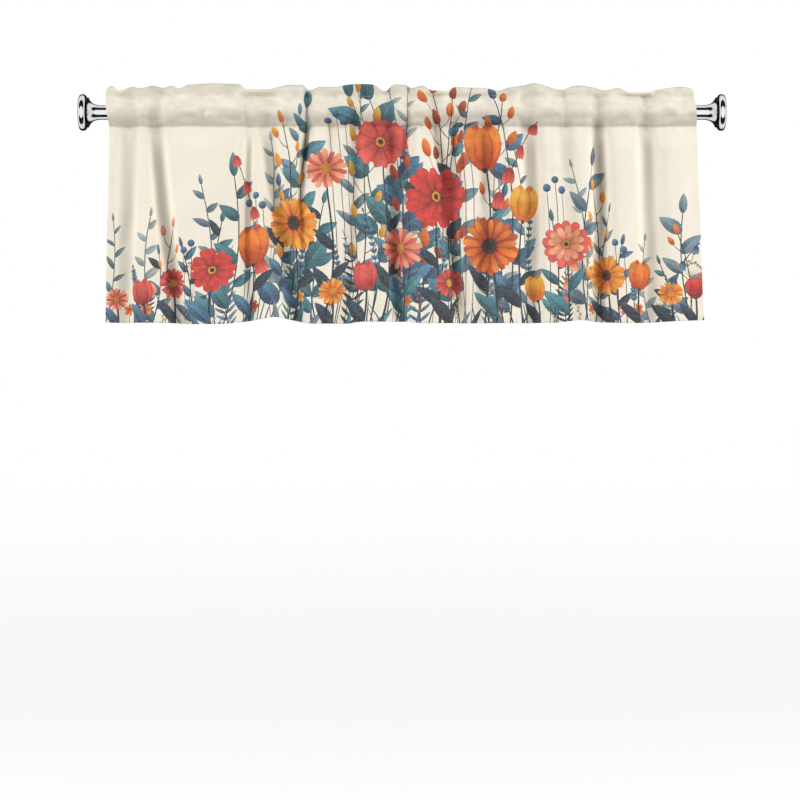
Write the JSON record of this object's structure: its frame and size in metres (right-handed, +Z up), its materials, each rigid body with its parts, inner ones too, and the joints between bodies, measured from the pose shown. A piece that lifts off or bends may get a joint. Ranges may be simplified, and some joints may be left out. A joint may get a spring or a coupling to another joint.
{
  "type": "window valance on a curtain rod",
  "caption": "Gathered rod-pocket window valance with a ruffled header and a wildflower border, hung on a round chrome curtain rod with turned finials.",
  "frame": {"origin": "on the rod's axis, midway between the two finials", "axes": "+X along the rod to the right as seen from the room, +Y from the room to the wall, +Z up"},
  "size_m": [1.26, 0.071, 0.469],
  "materials": {
    "printed_cloth": "cream linen-look woven cloth printed with a meadow border in yellow, coral, red, teal and navy",
    "chrome": "polished chrome plate"
  },
  "bodies": {
    "root": {"valance_cloth": "printed_cloth", "rod": "chrome", "finial_left": "chrome", "finial_right": "chrome"}
  },
  "joints": []
}
